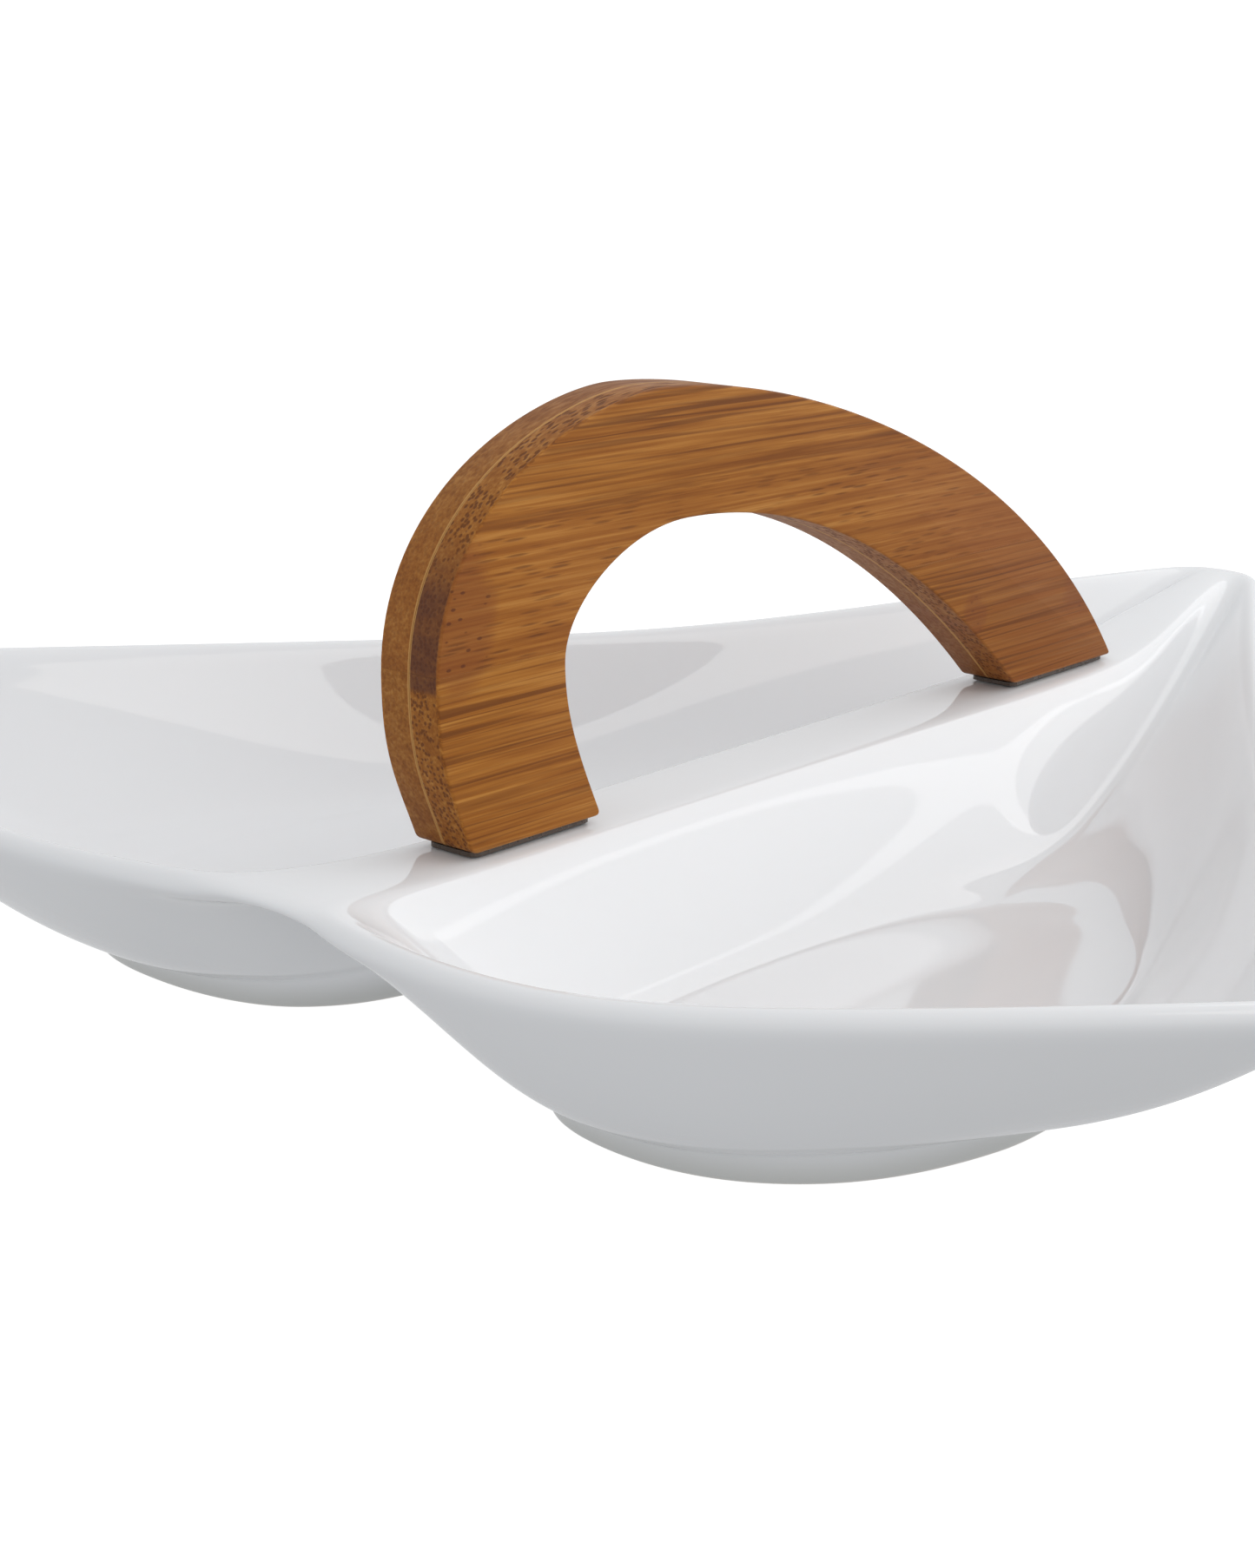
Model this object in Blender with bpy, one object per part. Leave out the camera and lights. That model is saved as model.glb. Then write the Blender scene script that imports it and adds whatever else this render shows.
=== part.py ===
"""Chip and dip server: a two-well glazed porcelain dish with a bamboo carrying handle.

The dish is one slip-cast shell.  A raised ridge runs from its near edge to its far corner
and parts the larger chip well (-X) from the dip well (+X).  The handle is cut from two
laminated bamboo plies.  It stands along the ridge on two clear pads, and each foot is
pulled down by one screw that comes up through the ridge from the fold underneath.

+Y runs along the ridge to the far corner, +Z is up, and the foot rings stand on Z = 0.
The origin is the middle of the dish's outline at table level.
"""
import math

import bmesh
import bpy
from mathutils import Matrix, Vector
from mathutils.geometry import interpolate_bezier

GAP = 0.0003                    # air between any two pieces that touch

# dish
RIDGE_Z = 0.0360                # top of the ridge above the table
RIDGE_FLAT = 0.0075             # half width of the flat crest the handle stands on
WELL_FLOOR_Z = 0.0078           # glazed floor of each well
WALL = 0.0048                   # shell thickness
LIP_R = 0.0017                  # rounding of the rim
NEAR_Y = -0.1530                # where the ridge meets the near edge
NEAR_LIFT = 0.0028              # rim above the ridge there
FAR_Y = 0.1620                  # far corner
FAR_LIFT = 0.0130
NEAR_DIP = 0.0006               # the rim sags to this beside the ridge
TIP_R = (0.1450, -0.0880)       # raised corner of the dip well
TIP_R_LIFT = 0.0062
TIP_L = (-0.1800, -0.1310)      # raised corner of the chip well
TIP_L_LIFT = 0.0080
SIDE_LIFT = 0.0032              # lowest point of the two long far sides
RIM_SEGS = 8                    # rim points between two rim knots
RIDGE_SEGS = 20
RINGS = 10                      # rings from rim to well floor

# foot rings
FOOT_BAND = 0.0052              # width of the unglazed standing face
FOOT_TAPER = 0.0012
FOOT_FLARE = 0.85               # how fast the shell opens round the foot
FOOT_RING = 8                   # the ring of the shell that the foot drops from

# handle
HANDLE_T = 0.0130
HANDLE_LONG = 0.2055            # between the outer corners of the two feet
HANDLE_HIGH = 0.0714
HANDLE_NEAR_Y = -0.1116
HOOK_OUT = 0.0079               # how far the near end bulges past its own foot
NEAR_FOOT = 0.0316
FAR_FOOT = 0.0405
HANDLE_ROUND = 0.0009

# fixings
PAD_T = 0.0008
PAD_INSET = 0.0012
SCREW_R = 0.0020
SCREW_BITE = 0.0150             # thread length inside the bamboo
HEAD_R = 0.0042
HEAD_H = 0.0026
WASHER_R = 0.0058
WASHER_T = 0.0010
SOFT_R = 0.0068
SOFT_T = 0.0015
HOLE_SPARE = 0.0007             # the screw's freedom in the hole fired into the ridge

HOLE_R = SCREW_R + HOLE_SPARE
SEAT_Z = RIDGE_Z + GAP + PAD_T + GAP
HANDLE_FAR_Y = HANDLE_NEAR_Y + HANDLE_LONG
FAR_RISE_Y = HANDLE_FAR_Y + 0.0040    # the crest starts to climb here
NEAR_SCREW_Y = HANDLE_NEAR_Y + NEAR_FOOT * 0.50
FAR_SCREW_Y = HANDLE_FAR_Y - FAR_FOOT * 0.55
PINCH_Y = max(FAR_Y - 0.0680, FAR_SCREW_Y + SOFT_R + 0.0030)   # the fold closes up beyond this

for old in list(bpy.data.objects):
    bpy.data.objects.remove(old, do_unlink=True)


def material(name, colour, rough, metal=0.0):
    mat = bpy.data.materials.new(name)
    mat.use_nodes = True
    shader = mat.node_tree.nodes["Principled BSDF"]
    shader.inputs["Base Color"].default_value = (*colour, 1.0)
    shader.inputs["Roughness"].default_value = rough
    shader.inputs["Metallic"].default_value = metal
    mat.diffuse_color = (*colour, 1.0)
    return mat


def finish(name, bm, mat):
    bmesh.ops.recalc_face_normals(bm, faces=bm.faces)
    mesh = bpy.data.meshes.new(name)
    bm.to_mesh(mesh)
    bm.free()
    mesh.materials.append(mat)
    obj = bpy.data.objects.new(name, mesh)
    bpy.context.collection.objects.link(obj)
    return obj


def smooth(value, low, high):
    t = min(max((value - low) / (high - low), 0.0), 1.0)
    return t * t * (3 - 2 * t)


def knot(x, y, lift, heading, before, after):
    """A rim point, the way the rim heads there (degrees from +X) and its two reaches."""
    point = Vector((x, y, RIDGE_Z + lift))
    way = Vector((math.cos(math.radians(heading)), math.sin(math.radians(heading)), 0))
    return point, point - way * before, point + way * after


def run(knots, segs):
    """Points along a chain of Bezier knots, both ends included."""
    points = []
    for first, second in zip(knots, knots[1:]):
        part = interpolate_bezier(first[0], first[2], second[1], second[0], segs + 1)
        points.extend(part[:-1])
    points.append(knots[-1][0])
    return points


# ---------------------------------------------------------------- porcelain dish
def rim_half(side):
    """Rim of one well, from the near end of the ridge round its corner to the far corner."""
    if side > 0:
        tip, lift, sweep, turn = TIP_R, TIP_R_LIFT, 46, 128
    else:
        tip, lift, sweep, turn = TIP_L, TIP_L_LIFT, 12, 126
    x, y = abs(tip[0]), tip[1]
    bulge = 0.0035 if side > 0 else -0.0020
    chain = [
        knot(RIDGE_FLAT, NEAR_Y, NEAR_LIFT, 0, 0.010, 0.014),
        knot(x * 0.38, NEAR_Y + bulge, NEAR_DIP, 14 if side > 0 else -1, 0.018, 0.022),
        knot(x - 0.009, y - 0.011, lift, sweep, 0.034, 0.007),
        knot(x - 0.001, y + 0.010, lift, turn, 0.008, 0.040),
        knot(x * 0.26 + 0.038, 0.028, SIDE_LIFT, 118 if side > 0 else 121, 0.045, 0.045),
        knot(RIDGE_FLAT + 0.0045, FAR_Y - 0.0085, FAR_LIFT - 0.0008, 116, 0.034, 0.003),
        knot(RIDGE_FLAT * 0.35, FAR_Y, FAR_LIFT, 172, 0.004, 0.001),
    ]
    return [Vector((side * p.x, p.y, p.z)) for p in run(chain, RIM_SEGS)]


def crest_z(y):
    near = smooth(HANDLE_NEAR_Y - HOOK_OUT - y, 0.0, HANDLE_NEAR_Y - HOOK_OUT - NEAR_Y)
    far = smooth(y, FAR_RISE_Y, FAR_Y)
    return RIDGE_Z + NEAR_LIFT * near + FAR_LIFT * far


def foot_centre(side):
    return Vector((0.0530, -0.0680, 0)) if side > 0 else Vector((-0.0640, -0.0700, 0))


def floor_point(side, toward):
    """Edge of the flat well floor, an egg that points at the far corner."""
    centre = foot_centre(side)
    way = Vector((toward.x - centre.x, toward.y - centre.y))
    angle = math.atan2(way.y, way.x)
    inboard = way.x * side < 0
    wide, long = (0.0320, 0.0475) if side > 0 else (0.0350, 0.0440)
    if side > 0 and inboard:
        wide = 0.0280
    if way.y > 0:
        long = 0.0740
    c, s = abs(math.cos(angle)), abs(math.sin(angle))
    blunt = 2.0
    if way.y < 0:
        corner = 0.7 if side < 0 else 1.4 if inboard else -0.1
        blunt += corner * smooth(s, 0.0, 0.5)
    reach = ((c / wide) ** blunt + (s / long) ** blunt) ** (-1.0 / blunt)
    c, s = math.cos(angle), math.sin(angle)
    return Vector((centre.x + c * reach, centre.y + s * reach, WELL_FLOOR_Z))


def well_rings(side, rim):
    """Closed rings of one well, from its rim and the ridge crest down to the floor."""
    first, last = rim[0], rim[-1]
    crest = []
    for i in range(1, RIDGE_SEGS):
        t = i / RIDGE_SEGS
        y = last.y + (first.y - last.y) * t
        if abs(y - FAR_RISE_Y) < (last.y - first.y) / RIDGE_SEGS / 2:
            y = FAR_RISE_Y
        ends = smooth(y, max(FAR_Y - 0.050, FAR_RISE_Y), FAR_Y)
        x = RIDGE_FLAT + (abs(last.x) - RIDGE_FLAT) * ends
        crest.append(Vector((side * x, y, crest_z(y))))
    loop = rim + crest
    rings = [loop]
    for k in range(1, RINGS + 1):
        s = k / RINGS
        ring = []
        for i, edge in enumerate(loop):
            floor = floor_point(side, edge)
            if i >= len(rim):
                on_ridge = 1.0 - 0.8 * smooth(edge.y, FAR_Y - 0.090, FAR_Y - 0.015)
            elif edge.y < 0:
                on_ridge = 1.0 - smooth(abs(edge.x), RIDGE_FLAT, 0.036 if side > 0 else 0.050)
            else:
                on_ridge = 0.2 - 0.2 * smooth(abs(edge.x), 0.0, 0.034)
            straight = 0.5 * smooth(edge.x, 0.030, 0.110)
            bowl = 1.0 - (1.0 - s) ** (2.1 - straight)
            fold = s * s * (3 - 2 * s)
            drop = bowl + (fold - bowl) * on_ridge
            plan = edge.lerp(floor, s)
            if k >= FOOT_RING:
                out = Vector((edge.x - floor.x, edge.y - floor.y, 0))
                most = FOOT_FLARE * (floor.xy - foot_centre(side).xy).length
                plan = floor + out.normalized() * (1.0 - s) * min(out.length, most)
            ring.append(Vector((plan.x, plan.y, edge.z + (floor.z - edge.z) * drop)))
        rings.append(ring)
    return rings


def bridge(bm, upper, lower):
    for i in range(len(upper)):
        j = (i + 1) % len(upper)
        bm.faces.new((upper[i], upper[j], lower[j], lower[i]))


def dish_body(mat):
    rims = {side: rim_half(side) for side in (1, -1)}
    inset = {}
    for side, rim in rims.items():
        inner = []
        for i, p in enumerate(rim):
            before = rim[max(i - 1, 0)]
            after = rim[min(i + 1, len(rim) - 1)]
            way = Vector((after.x - before.x, after.y - before.y, 0)).normalized()
            inner.append(p + Vector((-way.y, way.x, 0)) * side * LIP_R)
        inset[side] = inner
    # the glazed upper skin
    bm = bmesh.new()
    grid = {}
    for side in (1, -1):
        rings = well_rings(side, inset[side])
        grid[side] = [[bm.verts.new(p) for p in ring] for ring in rings]
        for k in range(RINGS):
            bridge(bm, grid[side][k], grid[side][k + 1])
        bm.faces.new(grid[side][RINGS])
    count = len(rims[1])
    right = [grid[1][0][count - 1]] + grid[1][0][count:] + [grid[1][0][0]]
    left = [grid[-1][0][count - 1]] + grid[-1][0][count:] + [grid[-1][0][0]]
    for i in range(len(right) - 1):
        bm.faces.new((right[i], right[i + 1], left[i + 1], left[i]))
    bmesh.ops.recalc_face_normals(bm, faces=bm.faces)
    if sum(f.normal.z * f.calc_area() for f in bm.faces) < 0:
        bmesh.ops.reverse_faces(bm, faces=bm.faces)
    bm.normal_update()
    # the underside follows it one wall below, down to the foot rings
    lower = {}
    for side in (1, -1):
        lower[side] = []
        for k in range(FOOT_RING + 1):
            row = []
            for i, v in enumerate(grid[side][k]):
                pinch = 1.0 - 0.65 * smooth(v.co.y, PINCH_Y, PINCH_Y + 0.038)
                if k == 0 and i >= count:
                    p = Vector((v.co.x * pinch, v.co.y, v.co.z - WALL))
                else:
                    depth = LIP_R * 2 + (WALL - LIP_R * 2) * smooth(k, 0, 3)
                    p = v.co - v.normal * (WALL if i >= count else depth)
                    if i >= count:
                        p.x = side * max(side * p.x, RIDGE_FLAT * pinch)
                row.append(bm.verts.new(p))
            lower[side].append(row)
        for k in range(FOOT_RING):
            bridge(bm, lower[side][k], lower[side][k + 1])
        shell = [v.co.copy() for v in lower[side][FOOT_RING]]
        centre = foot_centre(side)
        foot = []
        for inward, z in ((FOOT_TAPER, 0.0), (FOOT_TAPER + FOOT_BAND, 0.0),
                          (FOOT_TAPER * 2 + FOOT_BAND, WELL_FLOOR_Z - WALL)):
            row = []
            for i, p in enumerate(shell):
                before = shell[i - 1]
                after = shell[(i + 1) % len(shell)]
                way = Vector((after.x - before.x, after.y - before.y, 0)).normalized()
                spin = Vector((-way.y, way.x, 0)) * side
                row.append(bm.verts.new((p.x + spin.x * inward, p.y + spin.y * inward, z)))
            foot.append(row)
        bridge(bm, lower[side][FOOT_RING], foot[0])
        bridge(bm, foot[0], foot[1])
        bridge(bm, foot[1], foot[2])
        bm.faces.new(foot[2])
    right = [lower[1][0][count - 1]] + lower[1][0][count:] + [lower[1][0][0]]
    left = [lower[-1][0][count - 1]] + lower[-1][0][count:] + [lower[-1][0][0]]
    for i in range(len(right) - 1):
        bm.faces.new((right[i], right[i + 1], left[i + 1], left[i]))
    # rounded rim between the two skins
    top = grid[1][0][:count] + list(reversed(grid[-1][0][:count]))
    low = lower[1][0][:count] + list(reversed(lower[-1][0][:count]))
    edge = []
    for i, v in enumerate(top):
        way = (top[(i + 1) % len(top)].co - top[i - 1].co).normalized()
        out = way.cross(v.normal)
        edge.append(bm.verts.new((v.co + low[i].co) / 2 + out * LIP_R))
    bridge(bm, top, edge)
    bridge(bm, edge, low)
    dish = finish("dish", bm, mat)
    for y in (NEAR_SCREW_Y, FAR_SCREW_Y):
        cut(dish, tube("ridge_hole", 0, y, RIDGE_Z - WALL - 0.004, RIDGE_Z + 0.004, HOLE_R, mat))
    return dish


# ---------------------------------------------------------------- round parts and cuts
def tube(name, x, y, low, high, radius, mat, bore=0.0, sides=32):
    bm = bmesh.new()
    made = bmesh.ops.create_circle(bm, cap_ends=not bore, radius=radius, segments=sides)
    if bore:
        inner = bmesh.ops.create_circle(bm, cap_ends=False, radius=bore, segments=sides)
        edges = [e for e in bm.edges]
        bmesh.ops.bridge_loops(bm, edges=edges)
    grown = bmesh.ops.extrude_face_region(bm, geom=list(bm.faces))
    top = [g for g in grown["geom"] if isinstance(g, bmesh.types.BMVert)]
    bmesh.ops.translate(bm, vec=(0, 0, high - low), verts=top)
    bmesh.ops.translate(bm, vec=(x, y, low), verts=bm.verts)
    return finish(name, bm, mat)


def cut(body, cutter):
    cutter.name = "cut_" + body.name
    cutter.hide_render = True
    cutter.display_type = "WIRE"
    mod = body.modifiers.new("hole", "BOOLEAN")
    mod.operation = "DIFFERENCE"
    mod.solver = "EXACT"
    mod.object = cutter


# ---------------------------------------------------------------- bamboo handle
def handle_outline():
    """Side view in the plane of the ridge: a tight hook near, a long sweep far."""
    def at(y, z):
        return Vector((0, y, z))

    def polar(origin, length, angle):
        a = math.radians(angle)
        return origin + Vector((0, math.cos(a), math.sin(a))) * length

    near, far = HANDLE_NEAR_Y, HANDLE_FAR_Y
    high = HANDLE_HIGH
    start, end = at(near, 0), at(far, 0)
    hook, top = at(near - HOOK_OUT, high * 0.41), at(near + HANDLE_LONG * 0.226, high)
    outer = []
    outer += interpolate_bezier(start, polar(start, 0.0120, 113), hook - at(0, 0.0140), hook, 9)[:-1]
    outer += interpolate_bezier(hook, hook + at(0, high * 0.46), top - at(0.0135, 0), top, 19)[:-1]
    outer += interpolate_bezier(top, top + at(HANDLE_LONG * 0.20, 0), polar(end, high * 0.90, 129.5),
                                end, 25)
    start, end = at(near + NEAR_FOOT, 0), at(far - FAR_FOOT, 0)
    hook, top = at(near + NEAR_FOOT - 0.0095, high * 0.40), at(near + HANDLE_LONG * 0.262, high * 0.68)
    inner = []
    inner += interpolate_bezier(start, polar(start, 0.0110, 116), hook - at(0, 0.0100), hook, 9)[:-1]
    inner += interpolate_bezier(hook, hook + at(0, high * 0.13), top - at(0.0170, 0), top, 11)[:-1]
    inner += interpolate_bezier(top, top + at(HANDLE_LONG * 0.22, 0), polar(end, high * 0.50, 139),
                                end, 19)
    return outer + list(reversed(inner))


def ply(name, side, mat):
    outline = handle_outline()
    thick = HANDLE_T / 2 - GAP / 2
    bm = bmesh.new()
    base = side * GAP / 2
    face = bm.faces.new([bm.verts.new((base, p.y, p.z + SEAT_Z)) for p in outline])
    grown = bmesh.ops.extrude_face_region(bm, geom=[face])
    moved = [g for g in grown["geom"] if isinstance(g, bmesh.types.BMVert)]
    bmesh.ops.translate(bm, vec=(side * thick, 0, 0), verts=moved)
    bmesh.ops.recalc_face_normals(bm, faces=bm.faces)
    outside = [e for e in bm.edges if all(abs(v.co.x) > thick * 0.9 for v in e.verts)]
    bmesh.ops.bevel(bm, geom=outside, offset=HANDLE_ROUND, segments=2, profile=0.5,
                    affect="EDGES", material=-1, clamp_overlap=True)
    body = finish(name, bm, mat)
    for y in (NEAR_SCREW_Y, FAR_SCREW_Y):
        cut(body, tube("pilot", 0, y, SEAT_Z - 0.003, SEAT_Z + SCREW_BITE + 0.0008,
                       SCREW_R + GAP, mat))
    return body


# ---------------------------------------------------------------- pads and fixings
def pad(name, y_low, y_high, screw_y, mat):
    """Clear pad under one handle foot, round the screw."""
    half = HANDLE_T / 2 - PAD_INSET
    bm = bmesh.new()
    corners = ((-half, y_low), (half, y_low), (half, y_high), (-half, y_high))
    face = bm.faces.new([bm.verts.new((x, y, RIDGE_Z + GAP)) for x, y in corners])
    grown = bmesh.ops.extrude_face_region(bm, geom=[face])
    moved = [g for g in grown["geom"] if isinstance(g, bmesh.types.BMVert)]
    bmesh.ops.translate(bm, vec=(0, 0, PAD_T), verts=moved)
    upright = [e for e in bm.edges if abs(e.verts[0].co.z - e.verts[1].co.z) > PAD_T * 0.5]
    bmesh.ops.bevel(bm, geom=upright, offset=0.0016, segments=3, profile=0.5,
                    affect="EDGES", material=-1)
    body = finish(name, bm, mat)
    cut(body, tube("pad_hole", 0, screw_y, RIDGE_Z - 0.002, SEAT_Z + 0.002, SCREW_R + GAP, mat))
    return body


def screw(name, y, mat):
    """Pan-head screw turned as one round piece, its head below the washers."""
    under = RIDGE_Z - WALL - GAP - SOFT_T - GAP - WASHER_T - GAP
    tip = SEAT_Z + SCREW_BITE
    profile = [(0.0, under - HEAD_H), (HEAD_R * 0.62, under - HEAD_H),
               (HEAD_R * 0.90, under - HEAD_H * 0.72), (HEAD_R, under - HEAD_H * 0.30),
               (HEAD_R, under), (SCREW_R, under), (SCREW_R, tip - 0.0040), (0.0, tip)]
    bm = bmesh.new()
    verts = [bm.verts.new((r, 0, z)) for r, z in profile]
    edges = [bm.edges.new((a, b)) for a, b in zip(verts, verts[1:])]
    bmesh.ops.spin(bm, geom=verts + edges, cent=(0, 0, 0), axis=(0, 0, 1), dvec=(0, 0, 0),
                   angle=math.tau, steps=32, use_merge=True)
    bmesh.ops.remove_doubles(bm, verts=bm.verts, dist=0.00001)
    bmesh.ops.translate(bm, vec=(0, y, 0), verts=bm.verts)
    return finish(name, bm, mat)


glaze = material("porcelain_glaze", (0.86, 0.87, 0.88), 0.08)
bamboo = material("bamboo", (0.50, 0.27, 0.10), 0.42)
bamboo_back = material("bamboo_back", (0.55, 0.31, 0.12), 0.42)
steel = material("stainless_steel", (0.62, 0.62, 0.60), 0.30, 1.0)
silicone = material("clear_silicone", (0.80, 0.80, 0.78), 0.35)
rubber = material("grey_rubber", (0.16, 0.16, 0.17), 0.70)

dish_body(glaze)
ply("handle_ply_right", 1, bamboo)
ply("handle_ply_left", -1, bamboo_back)

pad("near_foot_pad", HANDLE_NEAR_Y + PAD_INSET, HANDLE_NEAR_Y + NEAR_FOOT - PAD_INSET,
    NEAR_SCREW_Y, silicone)
pad("far_foot_pad", HANDLE_FAR_Y - FAR_FOOT + PAD_INSET, HANDLE_FAR_Y - PAD_INSET,
    FAR_SCREW_Y, silicone)

for label, y in (("near", NEAR_SCREW_Y), ("far", FAR_SCREW_Y)):
    soft_top = RIDGE_Z - WALL - GAP
    steel_top = soft_top - SOFT_T - GAP
    tube(label + "_soft_washer", 0, y, soft_top - SOFT_T, soft_top, SOFT_R, rubber,
         bore=SCREW_R + GAP)
    tube(label + "_steel_washer", 0, y, steel_top - WASHER_T, steel_top, WASHER_R, steel,
         bore=SCREW_R + GAP)
    screw(label + "_screw", y, steel)

# the dish is drawn from its ridge, then everything moves so the outline is centred
outline = [v.co for v in bpy.data.objects["dish"].data.vertices]
middle_x = (min(p.x for p in outline) + max(p.x for p in outline)) / 2
middle_y = (min(p.y for p in outline) + max(p.y for p in outline)) / 2
for mesh in {obj.data for obj in bpy.data.objects}:
    mesh.transform(Matrix.Translation((-middle_x, -middle_y, 0)))
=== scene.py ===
"""Chip and dip server: a glazed porcelain dish with two wells and a laminated bamboo handle."""
import math

import bmesh
import bpy
from mathutils import Matrix, Vector
from mathutils.geometry import interpolate_bezier


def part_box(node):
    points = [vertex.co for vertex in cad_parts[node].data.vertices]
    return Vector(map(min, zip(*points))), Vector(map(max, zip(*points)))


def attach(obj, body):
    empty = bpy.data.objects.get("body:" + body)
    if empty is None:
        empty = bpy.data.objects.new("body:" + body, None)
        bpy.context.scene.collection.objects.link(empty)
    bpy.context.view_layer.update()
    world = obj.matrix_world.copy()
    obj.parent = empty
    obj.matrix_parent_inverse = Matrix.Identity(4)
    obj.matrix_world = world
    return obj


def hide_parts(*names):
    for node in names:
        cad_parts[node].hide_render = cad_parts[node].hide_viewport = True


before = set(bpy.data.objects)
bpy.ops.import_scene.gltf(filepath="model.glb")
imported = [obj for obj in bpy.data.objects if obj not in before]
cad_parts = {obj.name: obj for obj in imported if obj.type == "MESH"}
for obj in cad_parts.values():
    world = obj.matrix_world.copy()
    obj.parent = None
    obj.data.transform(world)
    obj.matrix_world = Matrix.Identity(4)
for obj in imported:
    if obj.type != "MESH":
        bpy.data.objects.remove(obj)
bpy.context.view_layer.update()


# ---- Camera
# A close product view over the nearer long side of the dip well, a hand's height above the
# table.
lens = bpy.data.cameras.new("product_view")
lens.sensor_width = 36
lens.lens = 55.8
lens.clip_start = 0.01
eye = bpy.data.objects.new("product_view", lens)
eye.location = (0.28326, -0.38532, 0.15596)
eye.rotation_euler = (math.radians(74.148), math.radians(-0.943), math.radians(40.268))
bpy.context.collection.objects.link(eye)
bpy.context.scene.camera = eye


# ---- Porcelain dish
# Slip-cast white porcelain in one piece: the wide chip well on the left, the smaller dip well
# on the right and the soft ridge between them.  Glazed all over except the two foot rings it
# was fired on, which are ground bare.
right_low, right_high = (Vector(p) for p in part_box("handle_ply_right"))
left_low, left_high = (Vector(p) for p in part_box("handle_ply_left"))
dish_low, dish_high = (Vector(p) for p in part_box("dish"))
ridge_x = (left_high.x + right_low.x) / 2
ridge_top = 0.0360
crest_half = 0.0075           # half width of the ridge's top
crest_steps = 11
drops = (0.09, 0.19, 0.30, 0.42, 0.54, 0.66, 0.76, 0.83, 0.93, 1.0)   # share of each fall
foot_drop = 0.93              # the band below this one carries the foot ring
floor_lip = 0.0006            # the floor's edge lies this much over its middle
near_edge = dish_low.y + 0.0045
far_corner = dish_high.y
shell = 0.0048
well_floor = 0.0078


def ease(value, low, high):
    t = min(max((value - low) / (high - low), 0.0), 1.0)
    return t * t * (3 - 2 * t)


def rim_knot(x, y, lift, heading, before, after):
    """A point the rim passes, the way it heads there and how far it holds that way."""
    point = Vector((x, y, ridge_top + lift))
    way = Vector((math.cos(math.radians(heading)), math.sin(math.radians(heading)), 0))
    return point, point - way * before, point + way * after


def rim_of_well(side):
    dip = side > 0
    reach = dish_high.x - ridge_x if dip else ridge_x - dish_low.x
    x = reach - 0.0034
    y = near_edge + (0.0650 if dip else 0.0220)
    lift = 0.0064 if dip else 0.0082
    knots = [
        rim_knot(crest_half, near_edge + 0.0012, 0.0034, 0, 0.010, 0.014),
        rim_knot(x * 0.38, near_edge + (0.0052 if dip else -0.0003), 0.0012,
                 14 if dip else -1, 0.018, 0.022),
        rim_knot(x - 0.009, y - 0.010, lift, 46 if dip else 12, 0.034, 0.007),
        rim_knot(x - 0.002, y + 0.010, lift, 128 if dip else 126, 0.008, 0.040),
        rim_knot(x * 0.26 + 0.0365, 0.0264, 0.0032, 118 if dip else 121, 0.045, 0.045),
        rim_knot(crest_half + 0.0030, far_corner - 0.0105, 0.0120, 116, 0.034, 0.003),
        rim_knot(crest_half * 0.35, far_corner - 0.0018, 0.0128, 172, 0.004, 0.001),
    ]
    steps = (3, 4, 3, 5, 5, 2)
    points = []
    for (a, b), n in zip(zip(knots, knots[1:]), steps):
        points.extend(interpolate_bezier(a[0], a[2], b[1], b[0], n + 1)[:-1])
    return points + [knots[-1][0]]


def edge_of_floor(side, toward):
    """The flat of the well, an egg that points at the far corner."""
    cx, cy = (0.0530, -0.0711) if side > 0 else (0.0640, -0.0731)
    wide, tall = (0.0320, 0.0475) if side > 0 else (0.0350, 0.0440)
    dx, dy = toward.x - cx, toward.y - cy
    if side > 0 and dx < 0:
        wide = 0.0280
    turn = math.atan2(dy, dx)
    corner = 0.7 if side < 0 else 1.4 if dx < 0 else -0.1
    blunt = 2.0 + corner * ease(-dy / math.hypot(dx, dy), 0.0, 0.5)
    if dy > 0:
        tall = 0.0740
    r = (abs(math.cos(turn) / wide) ** blunt + abs(math.sin(turn) / tall) ** blunt) ** (-1 / blunt)
    return Vector((cx + r * math.cos(turn), cy + r * math.sin(turn), well_floor))


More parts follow.
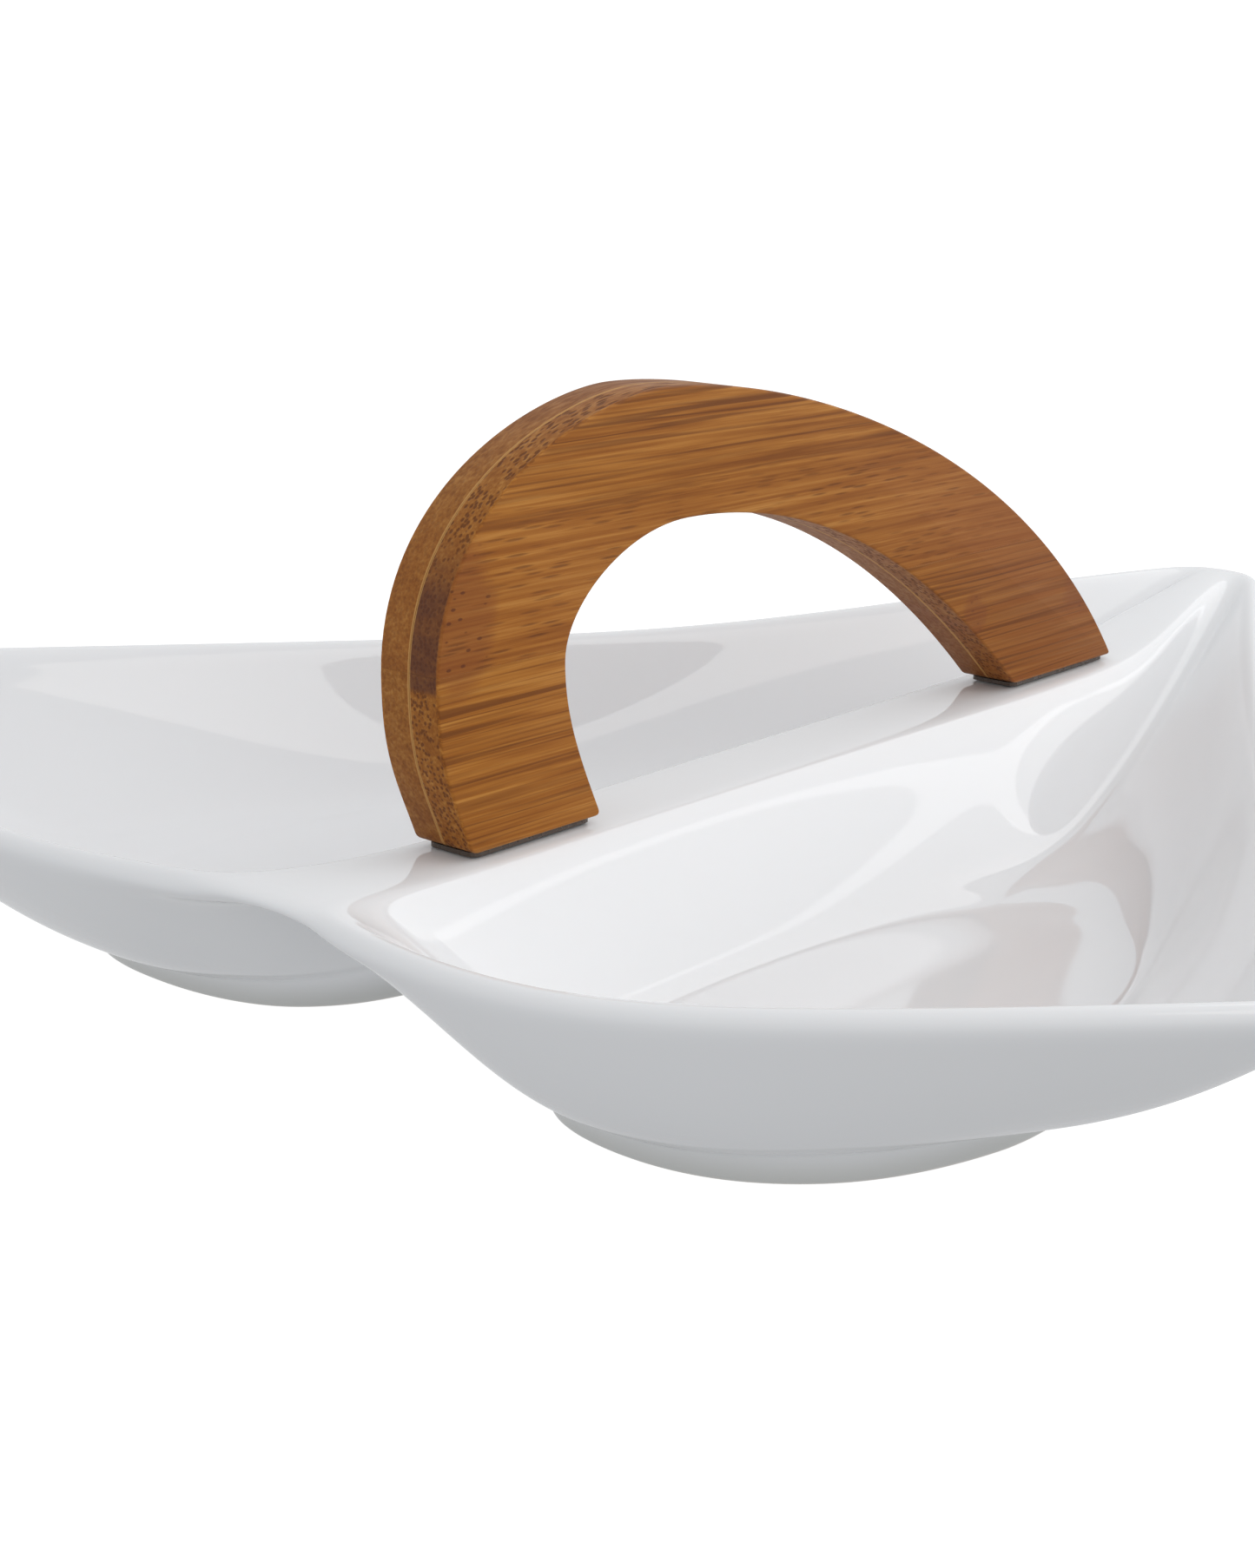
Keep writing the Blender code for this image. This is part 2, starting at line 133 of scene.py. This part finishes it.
dish_mesh = bmesh.new()
crest_edges = []
for side in (1, -1):
    rim = rim_of_well(side)
    crest = []
    for i in range(1, crest_steps):
        y = rim[-1].y + (rim[0].y - rim[-1].y) * i / crest_steps
        x = crest_half + (rim[-1].x - crest_half) * ease(y, far_corner - 0.050, far_corner)
        z = ridge_top + 0.0034 * ease(-y, 0.122, 0.156) + 0.0128 * ease(y, 0.0935, far_corner)
        crest.append(Vector((x, y, z)))
    outline = rim + crest
    verts = [dish_mesh.verts.new((p.x * side, p.y, p.z)) for p in outline]
    edges = [dish_mesh.edges.new((verts[i - 1], verts[i])) for i in range(len(verts))]
    crest_edges += [e for e in edges if abs(e.verts[0].co.x) <= crest_half + 1e-6
                    and abs(e.verts[1].co.x) <= crest_half + 1e-6]
    # the rim drawn down into the well, one ring of faces to each drop
    for s in drops:
        step = bmesh.ops.extrude_edge_only(dish_mesh, edges=edges)
        edges = [g for g in step["geom"] if isinstance(g, bmesh.types.BMEdge)]
        fresh = [g for g in step["geom"] if isinstance(g, bmesh.types.BMVert)]
        index = {}
        for v in fresh:
            old = next(e.other_vert(v) for e in v.link_edges if e.other_vert(v) in verts)
            index[verts.index(old)] = v
        verts = [index[i] for i in range(len(outline))]
        for v, top in zip(verts, outline):
            bottom = edge_of_floor(side, top)
            if top in crest:
                soft = 1.0 - 0.8 * ease(top.y, far_corner - 0.090, far_corner - 0.015)
            elif top.y < 0:
                soft = 1.0 - ease(top.x, crest_half, 0.036 if side > 0 else 0.050)
            else:
                soft = 0.2 - 0.2 * ease(top.x, 0.0, 0.034)
            straight = 0.5 * ease(top.x * side, 0.030, 0.110)
            bowl = 1.0 - (1.0 - s) ** (2.1 - straight)
            fall = bowl + (s * s * (3 - 2 * s) - bowl) * soft
            v.co = top.lerp(bottom, s)
            if s > 0.8:
                out = Vector((top.x - bottom.x, top.y - bottom.y, 0))
                most = 0.9 * math.hypot(bottom.x - 0.0600, bottom.y + 0.0720)
                v.co = bottom + out.normalized() * (1.0 - s) * min(out.length, most)
            v.co.z = top.z + (bottom.z + floor_lip - top.z) * fall
            v.co.x *= side
        if s == foot_drop:
            band = {f for e in edges for f in e.link_faces}
            for f in band:
                f.material_index = 1
    # the flat of the well, dished very slightly
    floor = bmesh.ops.contextual_create(dish_mesh, geom=edges)["faces"]
    floor[0].material_index = 0
    for inward, sink in ((0.006, 0.0004), (0.009, 0.0002)):
        bmesh.ops.inset_region(dish_mesh, faces=floor, thickness=inward)
        bmesh.ops.translate(dish_mesh, vec=(0, 0, -sink),
                            verts=list({v for f in floor for v in f.verts}))
# the ridge joins the two wells, and the whole skin is thickened downward
bmesh.ops.bridge_loops(dish_mesh, edges=crest_edges)
bmesh.ops.recalc_face_normals(dish_mesh, faces=dish_mesh.faces)
if sum(f.normal.z for f in dish_mesh.faces) < 0:
    bmesh.ops.reverse_faces(dish_mesh, faces=dish_mesh.faces)
bmesh.ops.solidify(dish_mesh, geom=list(dish_mesh.faces), thickness=shell)
bmesh.ops.recalc_face_normals(dish_mesh, faces=dish_mesh.faces)
# the foot rings reach down to the table
bands = [f for f in dish_mesh.faces if f.material_index == 1 and f.normal.z < 0]
grown = bmesh.ops.extrude_face_region(dish_mesh, geom=bands)
bmesh.ops.delete(dish_mesh, geom=bands, context="FACES")
for g in grown["geom"]:
    if isinstance(g, bmesh.types.BMVert):
        g.co.z = 0.0
for f in dish_mesh.faces:
    f.material_index = 0
    f.smooth = True
bmesh.ops.translate(dish_mesh, vec=(ridge_x, 0, 0), verts=dish_mesh.verts)
dish = bpy.data.objects.new("porcelain_dish", bpy.data.meshes.new("porcelain_dish"))
dish_mesh.to_mesh(dish.data)
dish_mesh.free()
bpy.context.collection.objects.link(dish)
fine = dish.modifiers.new("fine", "SUBSURF")
fine.levels = fine.render_levels = 3


class Wire:
    """One output of a material being built; sums on it add Math nodes."""

    def __init__(self, tree, socket):
        self.tree, self.socket = tree, socket

    def node(self, kind, settings=None, ins=None, out=0):
        made = self.tree.nodes.new(kind)
        for key, value in (settings or {}).items():
            if key == "stops":
                ramp = made.color_ramp
                while len(ramp.elements) < len(value):
                    ramp.elements.new(0.5)
                for stop, (place, colour) in zip(ramp.elements, value):
                    stop.position, stop.color = place, (*colour, 1.0)
            else:
                setattr(made, key, value)
        for key, value in (ins or {}).items():
            if isinstance(value, Wire):
                self.tree.links.new(value.socket, made.inputs[key])
            else:
                made.inputs[key].default_value = value
        return Wire(self.tree, made.outputs[out])

    def sum(self, operation, a, b):
        return self.node("ShaderNodeMath", {"operation": operation}, {0: a, 1: b})

    def __add__(self, other): return self.sum("ADD", self, other)
    def __sub__(self, other): return self.sum("SUBTRACT", self, other)
    def __rsub__(self, other): return self.sum("SUBTRACT", other, self)
    def __mul__(self, other): return self.sum("MULTIPLY", self, other)
    def __truediv__(self, other): return self.sum("DIVIDE", self, other)
    def __lt__(self, other): return self.sum("LESS_THAN", self, other)

    def axis(self, name):
        return self.node("ShaderNodeSeparateXYZ", None, {0: self}, "XYZ".index(name))

    def stretch(self, x, y, z, move=(0, 0, 0)):
        return self.node("ShaderNodeMapping", None, {0: self, 1: move, 3: (x, y, z)})

    def noise(self, scale, detail=2.0, rough=0.5, out=0):
        return self.node("ShaderNodeTexNoise", None,
                         {0: self, "Scale": scale, "Detail": detail, "Roughness": rough}, out)

    def cells(self, scale, scatter):
        return self.node("ShaderNodeTexVoronoi", None,
                         {0: self, "Scale": scale, "Randomness": scatter})

    def span(self, low, high, to_low=0.0, to_high=1.0, soft=True):
        """Carry a value from one range to another and hold it there."""
        return self.node("ShaderNodeMapRange",
                         {"interpolation_type": "SMOOTHSTEP" if soft else "LINEAR"},
                         {0: self, 1: low, 2: high, 3: to_low, 4: to_high})

    def between(self, first, second):
        """Colours, with this value as the share of the second."""
        return self.node("ShaderNodeMix", {"data_type": "RGBA"}, {0: self, 6: first, 7: second}, 2)


def finish_of(name, fixed):
    """A new Principled material: its object coordinates, its shader and its tree."""
    mat = bpy.data.materials.new(name)
    mat.use_nodes = True
    shader = mat.node_tree.nodes["Principled BSDF"]
    for key, value in fixed.items():
        shader.inputs[key].default_value = value
    place = mat.node_tree.nodes.new("ShaderNodeTexCoord")
    return mat, shader, Wire(mat.node_tree, place.outputs["Object"])


def lead(shader, key, wire):
    wire.tree.links.new(wire.socket, shader.inputs[key])


glaze, shader, at = finish_of("porcelain_glaze", {"IOR": 1.52, "Subsurface Weight": 0.04,
                                                  "Subsurface Radius": (0.004, 0.003, 0.0025),
                                                  "Subsurface Scale": 0.3})
cloud = at.noise(9.0, 3.0)
bare = at.axis("Z").span(0.0010, 0.0003)
grit = at.noise(1800.0, 2.0)
white = cloud.between((0.800, 0.812, 0.830, 1), (0.822, 0.828, 0.838, 1))
# Painted shade: below 7.5 mm the glaze colour is drawn towards grey, darkest at the foot near the
# table.
white = (at.axis("Z").span(0.0075, 0.0010) * 0.85).between(white, (0.520, 0.525, 0.505, 1))
biscuit = grit.between((0.66, 0.63, 0.58, 1), (0.80, 0.78, 0.74, 1))
lead(shader, "Base Color", bare.between(white, biscuit))
lead(shader, "Roughness", bare * 0.55 + cloud.span(0.3, 0.7, 0.035, 0.075))
swell = at.noise(26.0, 1.0) * 0.00022 + at.noise(420.0, 2.0) * 0.000004
lead(shader, "Normal", swell.node("ShaderNodeBump", None, {"Strength": 0.5, "Distance": 1.0,
                                                          "Height": swell + bare * grit * 0.00005}))
dish.data.materials.append(glaze)
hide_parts("dish")
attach(dish, "root")


# ---- Bamboo handle
# Two plies of carbonised bamboo board glued face to face, sawn to one outline with the grain
# running along the dish, then rounded over and oiled.  Culm nodes show as darker patches.
seat = right_low.z
handle_tall = right_high.z - seat
near_heel = right_low.y + 0.0079
handle_long = right_high.y - near_heel
ply_half = right_high.x - ridge_x
near_foot, far_foot = 0.0316, 0.0405


def at_yz(y, z):
    return Vector((0, y, z))


def swing(origin, length, angle):
    return origin + at_yz(math.cos(math.radians(angle)), math.sin(math.radians(angle))) * length


def handle_outline():
    heel, toe = at_yz(near_heel, 0), at_yz(near_heel + handle_long, 0)
    hook, peak = at_yz(right_low.y, handle_tall * 0.41), at_yz(near_heel + handle_long * 0.226,
                                                                handle_tall)
    outer = interpolate_bezier(heel, swing(heel, 0.0120, 113), hook - at_yz(0, 0.0140),
                               hook, 17)[:-1]
    outer += interpolate_bezier(hook, hook + at_yz(0, handle_tall * 0.46), peak - at_yz(0.0135, 0),
                                peak, 41)[:-1]
    outer += interpolate_bezier(peak, peak + at_yz(handle_long * 0.20, 0),
                                swing(toe, handle_tall * 0.90, 129.5), toe, 61)
    heel, toe = heel + at_yz(near_foot, 0), toe - at_yz(far_foot, 0)
    hook = at_yz(near_heel + near_foot - 0.0095, handle_tall * 0.40)
    peak = at_yz(near_heel + handle_long * 0.262, handle_tall * 0.68)
    inner = interpolate_bezier(heel, swing(heel, 0.0110, 116), hook - at_yz(0, 0.0100),
                               hook, 17)[:-1]
    inner += interpolate_bezier(hook, hook + at_yz(0, handle_tall * 0.13), peak - at_yz(0.0170, 0),
                                peak, 25)[:-1]
    inner += interpolate_bezier(peak, peak + at_yz(handle_long * 0.22, 0),
                                swing(toe, handle_tall * 0.50, 139), toe, 49)
    return outer + inner[::-1]


def bamboo_ply(name, side):
    glue = 0.00003
    ply = bmesh.new()
    ring = [ply.verts.new((side * glue, p.y, seat + p.z)) for p in handle_outline()]
    sawn = [ply.edges.new((ring[i - 1], ring[i])) for i in range(len(ring))]
    face = bmesh.ops.contextual_create(ply, geom=sawn)["faces"]
    corners = [v for v in ring if abs(v.co.z - seat) < 1e-7]
    bmesh.ops.bevel(ply, geom=corners, offset=0.0013, segments=4, profile=0.5,
                    affect="VERTICES", material=-1)
    face = list(ply.faces)
    grown = bmesh.ops.extrude_face_region(ply, geom=face)
    moved = [g for g in grown["geom"] if isinstance(g, bmesh.types.BMVert)]
    bmesh.ops.translate(ply, vec=(side * (ply_half - glue), 0, 0), verts=moved)
    bmesh.ops.recalc_face_normals(ply, faces=ply.faces)
    for where, width, rows in ((ply_half, 0.0009, 4), (glue, 0.00010, 1)):
        rims = [e for e in ply.edges if all(abs(abs(v.co.x) - where) < 1e-6 for v in e.verts)
                and len({round(f.normal.x, 2) for f in e.link_faces}) > 1]
        bmesh.ops.bevel(ply, geom=rims, offset=width, segments=rows, profile=0.5,
                        affect="EDGES", material=-1, clamp_overlap=True)
    bmesh.ops.translate(ply, vec=(ridge_x, 0, 0), verts=ply.verts)
    made = bpy.data.objects.new(name, bpy.data.meshes.new(name))
    ply.to_mesh(made.data)
    ply.free()
    bpy.context.collection.objects.link(made)
    made.data.shade_smooth()
    made.data.set_sharp_from_angle(angle=math.radians(32))
    return made


def bamboo(name, side):
    mat, shader, at = finish_of(name, {"IOR": 1.45, "Specular IOR Level": 0.18})
    y, z = at.axis("Y"), at.axis("Z")
    depth = (at.axis("X") - ridge_x) * side
    edge = depth.span(ply_half - 0.0003, ply_half - 0.0007)
    # the board is built up of strips: the seams lie level, one crosses the near leg
    seam = (z - seat - 0.0300 - at.stretch(1, 0.1, 1).noise(20.0, 1.0) * 0.001)
    middle = seam.span(-0.0002, 0.0002) * z.span(seat + 0.0580, seat + 0.0480)
    shift = seam.span(-0.0001, 0.0001) * 0.37
    aside = shift.node("ShaderNodeCombineXYZ", None, {0: shift * 0.03, 1: shift, 2: shift * 0.05})
    place = at.node("ShaderNodeVectorMath", {"operation": "ADD"}, {0: at, 1: aside})
    lazy = at.stretch(1, 0.25, 1).noise(30.0, 2.0, out=1)
    bent = place.node("ShaderNodeVectorMath", {"operation": "MULTIPLY_ADD"},
                      {0: lazy, 1: (0.0018, 0.0, 0.0018), 2: place})
    hair = bent.stretch(1, 0.016, 1, (0.01 * side, 0.3, 0.02)).noise(1700.0, 3.0, 0.6)
    fibre = bent.stretch(1, 0.022, 1, (0.05 * side, 0.1, 0.02)).noise(520.0, 3.0, 0.55)
    broad = bent.stretch(1, 0.06, 1, (0.02 * side, 0.2, 0.01)).noise(95.0, 2.0)
    tone = (hair.span(0.28, 0.74) * 0.46 + fibre.span(0.30, 0.70) * 0.32
            + broad.span(0.30, 0.70) * 0.22)
    colour = tone.node("ShaderNodeValToRGB", {"stops": (
        (0.10, (0.215, 0.066, 0.0085)), (0.36, (0.300, 0.102, 0.0130)),
        (0.62, (0.390, 0.150, 0.0230)), (0.92, (0.520, 0.236, 0.0500)))}, {0: tone})
    ember = (y - near_heel).span(0.095, 0.175) * 0.62
    colour = ember.between(colour, (0.235, 0.066, 0.0120, 1))
    threads = bent.stretch(1, 0.009, 1, (0.03, 0.2 * side, 0.01)).noise(820.0, 1.5, 0.5)
    near_line = (threads - 0.5) * (threads - 0.5)
    thread = (near_line.span(0.0042, 0.0008) * (0.85 - middle * 0.65)
              * fibre.span(0.30, 0.62, 1.0, 0.3) * (1 - edge))
    colour = thread.between(colour, (0.150, 0.046, 0.0080, 1))
    # fibre bundles: short dashes on the sawn face, dots where the saw crossed them
    cells = bent.stretch(1, 0.085, 1).cells(1250.0, 0.9)
    bundles = (1 - edge) * cells.span(0.38, 0.14) + edge * cells.span(0.50, 0.30)
    crowd = at.stretch(1, 0.3, 1).noise(60.0, 2.0).span(0.38, 0.62)
    strong = edge * 0.85 + (1 - edge) * (middle * 0.55 + 0.12) * (crowd * 0.7 + 0.3)
    dash = bundles * strong * (1.0 if side > 0 else 0.30)
    # The sawn edges are painted darker: partly the end grain's own tone, partly painted shade on
    # edges turned from the light, stronger on the back ply.
    colour = (edge * (0.30 if side > 0 else 0.40)).between(colour, (0.185, 0.066, 0.0130, 1))
    colour = (middle * 0.16).between(colour, (0.300, 0.090, 0.0180, 1))
    # culm nodes: one in the hook and one in the far leg
    wobble = at.noise(140.0, 3.0) - 0.5
    from_heel, up = y - near_heel, z - seat

    def patch(py, pz, ry, rz, most):
        dy = (from_heel - py + wobble * 0.006) / ry
        dz = (up - pz + wobble * 0.005) / rz
        return (dy * dy + dz * dz).span(1.15, 0.35) * most

    specks = bent.stretch(1, 0.5, 1).cells(620.0, 1.0).span(0.22, 0.12)
    if side > 0:
        hook = patch(-0.0030, 0.0400, 0.0085, 0.0145, 1.0)
        knotty = up.span(0.0270, 0.0285) * up.span(0.0530, 0.0470) * edge * (from_heel < 0.030)
        bands = at.stretch(0.3, 0.3, 1).noise(380.0, 2.0).span(0.40, 0.56)
        node_dark = knotty * (up.span(0.0460, 0.0420, 0.30, 0.66) + bands * 0.16 + bundles * 0.18)
        far_leg = patch(0.1925, 0.0215, 0.0110, 0.0120, 0.42)
        inner_knot = patch(0.1475, 0.0175, 0.0050, 0.0055, 0.42)
        node_warm = hook * 0.50 * (1 - edge) + far_leg + inner_knot
        spots = specks * (hook * (1 - edge) + far_leg + inner_knot) * 0.75
    else:
        node_dark = patch(0.0500, 0.0620, 0.0100, 0.0080, 0.30)
        node_warm = patch(0.1500, 0.0250, 0.0140, 0.0120, 0.40)
        spots = specks * node_warm
    colour = node_warm.between(colour, (0.205, 0.058, 0.0160, 1))
    colour = spots.between(colour, (0.095, 0.026, 0.0100, 1))
    colour = node_dark.between(colour, (0.098, 0.034, 0.0190, 1))
    colour = (dash - node_dark * 0.5).between(colour, (0.130, 0.040, 0.0090, 1))
    colour = (depth.span(0.00036, 0.00022) * 0.8).between(colour, (0.520, 0.280, 0.0900, 1))
    lead(shader, "Base Color", colour)
    lead(shader, "Roughness", tone.span(0.0, 1.0, 0.52, 0.40) + dash * 0.12)
    height = (hair * 0.00003 + fibre * 0.00003 - dash * 0.00008
              + at.noise(2600.0, 2.0) * 0.000008)
    lead(shader, "Normal", height.node("ShaderNodeBump", None, {"Strength": 0.6, "Distance": 1.0,
                                                               "Height": height}))
    return mat


for name, side, slot in (("handle_front_ply", 1, "bamboo"), ("handle_back_ply", -1, "bamboo_back")):
    ply = bamboo_ply(name, side)
    ply.data.materials.append(bamboo(name + "_oiled", side))
    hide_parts("handle_ply_right" if side > 0 else "handle_ply_left")
    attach(ply, "root")


# ---- Foot pads and fixings
# Clear silicone pads keep the handle's feet off the glaze; their dark brown colour is painted
# shade.
# Under the ridge a rubber washer, a stainless washer and a pan-head screw pull each foot down.
def plain_finish(name, fixed, colour_a, colour_b, grain, rough, bump):
    mat, shader, at = finish_of(name, fixed)
    speck = at.noise(grain, 3.0)
    lead(shader, "Base Color", speck.between((*colour_a, 1), (*colour_b, 1)))
    lead(shader, "Roughness", speck.span(0.3, 0.7, *rough))
    lead(shader, "Normal", speck.node("ShaderNodeBump", None, {"Strength": 0.5, "Distance": bump,
                                                              "Height": speck}))
    return mat


# The pads' dark brown colour is painted shade under the handle's feet.
silicone = plain_finish("clear_silicone", {"Transmission Weight": 0.12, "IOR": 1.41},
                        (0.085, 0.062, 0.048), (0.120, 0.090, 0.070), 300.0, (0.22, 0.34), 0.00001)
rubber = plain_finish("washer_rubber", {}, (0.020, 0.020, 0.022), (0.045, 0.045, 0.047),
                      900.0, (0.62, 0.80), 0.0001)
stainless = plain_finish("stainless", {"Metallic": 1.0}, (0.56, 0.56, 0.55), (0.68, 0.68, 0.67),
                         700.0, (0.22, 0.36), 0.00005)
for kind, made_of in (("foot_pad", silicone), ("soft_washer", rubber),
                      ("steel_washer", stainless)):
    for end in ("near_", "far_"):
        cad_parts[end + kind].data.materials.clear()
        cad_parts[end + kind].data.materials.append(made_of)


# ---- Handle screws
# Two stainless pan-head screws with a cross recess, driven up from under the ridge.  Each is
# turned from bar and its head is seen from below, inside the fold between the wells.
def turned_screw(node):
    low, high = (Vector(p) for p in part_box(node))
    middle = (low + high) / 2
    head, shank, neck = (high.x - low.x) / 2 - 0.00004, 0.00196, low.z + 0.0026
    shape = [(0.0, low.z), (head * 0.50, low.z), (head * 0.74, low.z + 0.0003),
             (head * 0.90, low.z + 0.0008), (head, low.z + 0.0016), (head, neck - 0.0002),
             (head - 0.0002, neck), (shank, neck)]
    pitch, plain, root = 0.0008, 0.0035, shank * 0.82
    for turn in range(1, 26):
        ridge = neck + plain + turn * pitch
        shape += [(root, ridge - pitch / 2), (shank, ridge)]
    shape.append((0.0, high.z))
    lathe = bmesh.new()
    verts = [lathe.verts.new((r, 0, z)) for r, z in shape if z <= high.z]
    edges = [lathe.edges.new(pair) for pair in zip(verts, verts[1:])]
    bmesh.ops.spin(lathe, geom=verts + edges, cent=(0, 0, 0), axis=(0, 0, 1), dvec=(0, 0, 0),
                   angle=math.tau, steps=48, use_merge=True)
    bmesh.ops.remove_doubles(lathe, verts=lathe.verts, dist=0.000005)
    bmesh.ops.recalc_face_normals(lathe, faces=lathe.faces)
    bmesh.ops.translate(lathe, vec=(middle.x, middle.y, 0), verts=lathe.verts)
    made = bpy.data.objects.new(node + "_turned", bpy.data.meshes.new(node + "_turned"))
    lathe.to_mesh(made.data)
    lathe.free()
    bpy.context.collection.objects.link(made)
    made.data.shade_smooth()
    made.data.set_sharp_from_angle(angle=math.radians(35))
    made.data.materials.append(stainless)
    for turn in (0, 90):
        blade = bmesh.new()
        bmesh.ops.create_cube(blade, size=1.0)
        bmesh.ops.scale(blade, vec=(0.0044, 0.0009, 0.0036), verts=blade.verts)
        tips = [v for v in blade.verts if v.co.z > 0]
        bmesh.ops.scale(blade, vec=(0.45, 0.8, 1.0), verts=tips)
        bmesh.ops.rotate(blade, cent=(0, 0, 0), verts=blade.verts,
                         matrix=Matrix.Rotation(math.radians(turn + 20), 3, "Z"))
        bmesh.ops.translate(blade, vec=(middle.x, middle.y, low.z), verts=blade.verts)
        cutter = bpy.data.objects.new("recess_" + node, bpy.data.meshes.new("recess_" + node))
        blade.to_mesh(cutter.data)
        blade.free()
        bpy.context.collection.objects.link(cutter)
        bore = made.modifiers.new("recess", "BOOLEAN")
        bore.operation, bore.solver, bore.object = "DIFFERENCE", "EXACT", cutter
        graph = bpy.context.evaluated_depsgraph_get()
        solid = bpy.data.meshes.new_from_object(made.evaluated_get(graph))
        made.modifiers.clear()
        made.data = solid
        bpy.data.objects.remove(cutter, do_unlink=True)
    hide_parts(node)
    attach(made, "root")


turned_screw("near_screw")
turned_screw("far_screw")


# ---- Table and light
# A plain white sweep, a pale sky that is dimmer from below, two wide soft boxes behind the
# dish and a smaller warm one at its right.  The sweep is seen but lights and mirrors nothing.
sweep_mesh = bmesh.new()
bmesh.ops.create_grid(sweep_mesh, x_segments=1, y_segments=1, size=4.0)
back = [e for e in sweep_mesh.edges if all(v.co.y > 3.9 for v in e.verts)]
risen = bmesh.ops.extrude_edge_only(sweep_mesh, edges=back)
bmesh.ops.translate(sweep_mesh, vec=(0, 0.6, 5.0),
                    verts=[g for g in risen["geom"] if isinstance(g, bmesh.types.BMVert)])
bmesh.ops.rotate(sweep_mesh, cent=(0, 0, 0), matrix=Matrix.Rotation(math.radians(40), 3, "Z"),
                 verts=sweep_mesh.verts)
sweep = bpy.data.objects.new("table", bpy.data.meshes.new("table"))
sweep_mesh.to_mesh(sweep.data)
sweep_mesh.free()
bpy.context.collection.objects.link(sweep)
paper, shader, at = finish_of("table_white", {"Roughness": 0.9, "Specular IOR Level": 0.0,
                                              "Emission Strength": 0.93})
lead(shader, "Base Color", at.noise(3.0).between((0.20, 0.20, 0.20, 1), (0.22, 0.22, 0.22, 1)))
shader.inputs["Emission Color"].default_value = (1, 1, 1, 1)
sweep.data.materials.append(paper)
sweep.visible_diffuse = False
sweep.visible_glossy = False

world = bpy.data.worlds.new("studio")
bpy.context.scene.world = world
world.use_nodes = True
sky = world.node_tree.nodes["Background"]
sky.inputs["Color"].default_value = (0.975, 0.985, 1.0, 1)
way = world.node_tree.nodes.new("ShaderNodeTexCoord")
height = Wire(world.node_tree, way.outputs["Generated"]).axis("Z")
world.node_tree.links.new(height.span(-1.0, -0.10, 0.48, 0.785).socket, sky.inputs["Strength"])


def soft_box(name, place, aim, wide, tall, power, colour):
    light = bpy.data.lights.new(name, "AREA")
    light.shape = "RECTANGLE"
    light.size, light.size_y, light.energy, light.color = wide, tall, power, colour
    lamp = bpy.data.objects.new(name, light)
    lamp.location = place
    lamp.rotation_euler = (Vector(aim) - Vector(place)).to_track_quat("-Z", "Y").to_euler()
    bpy.context.collection.objects.link(lamp)


soft_box("back_box", (0.55, 0.86, 1.02), (0.04, -0.03, 0.03), 1.6, 1.1, 5.7, (1.0, 0.995, 0.99))
soft_box("low_box", (0.76, 0.84, 0.36), (0.04, -0.03, 0.03), 1.0, 0.42, 1.3, (1.0, 0.995, 0.99))
soft_box("side_box", (1.3, -0.2, 1.3), (0, 0, 0.04), 0.8, 0.9, 2.8, (1.0, 0.93, 0.86))
bpy.context.scene.view_settings.view_transform = "Standard"
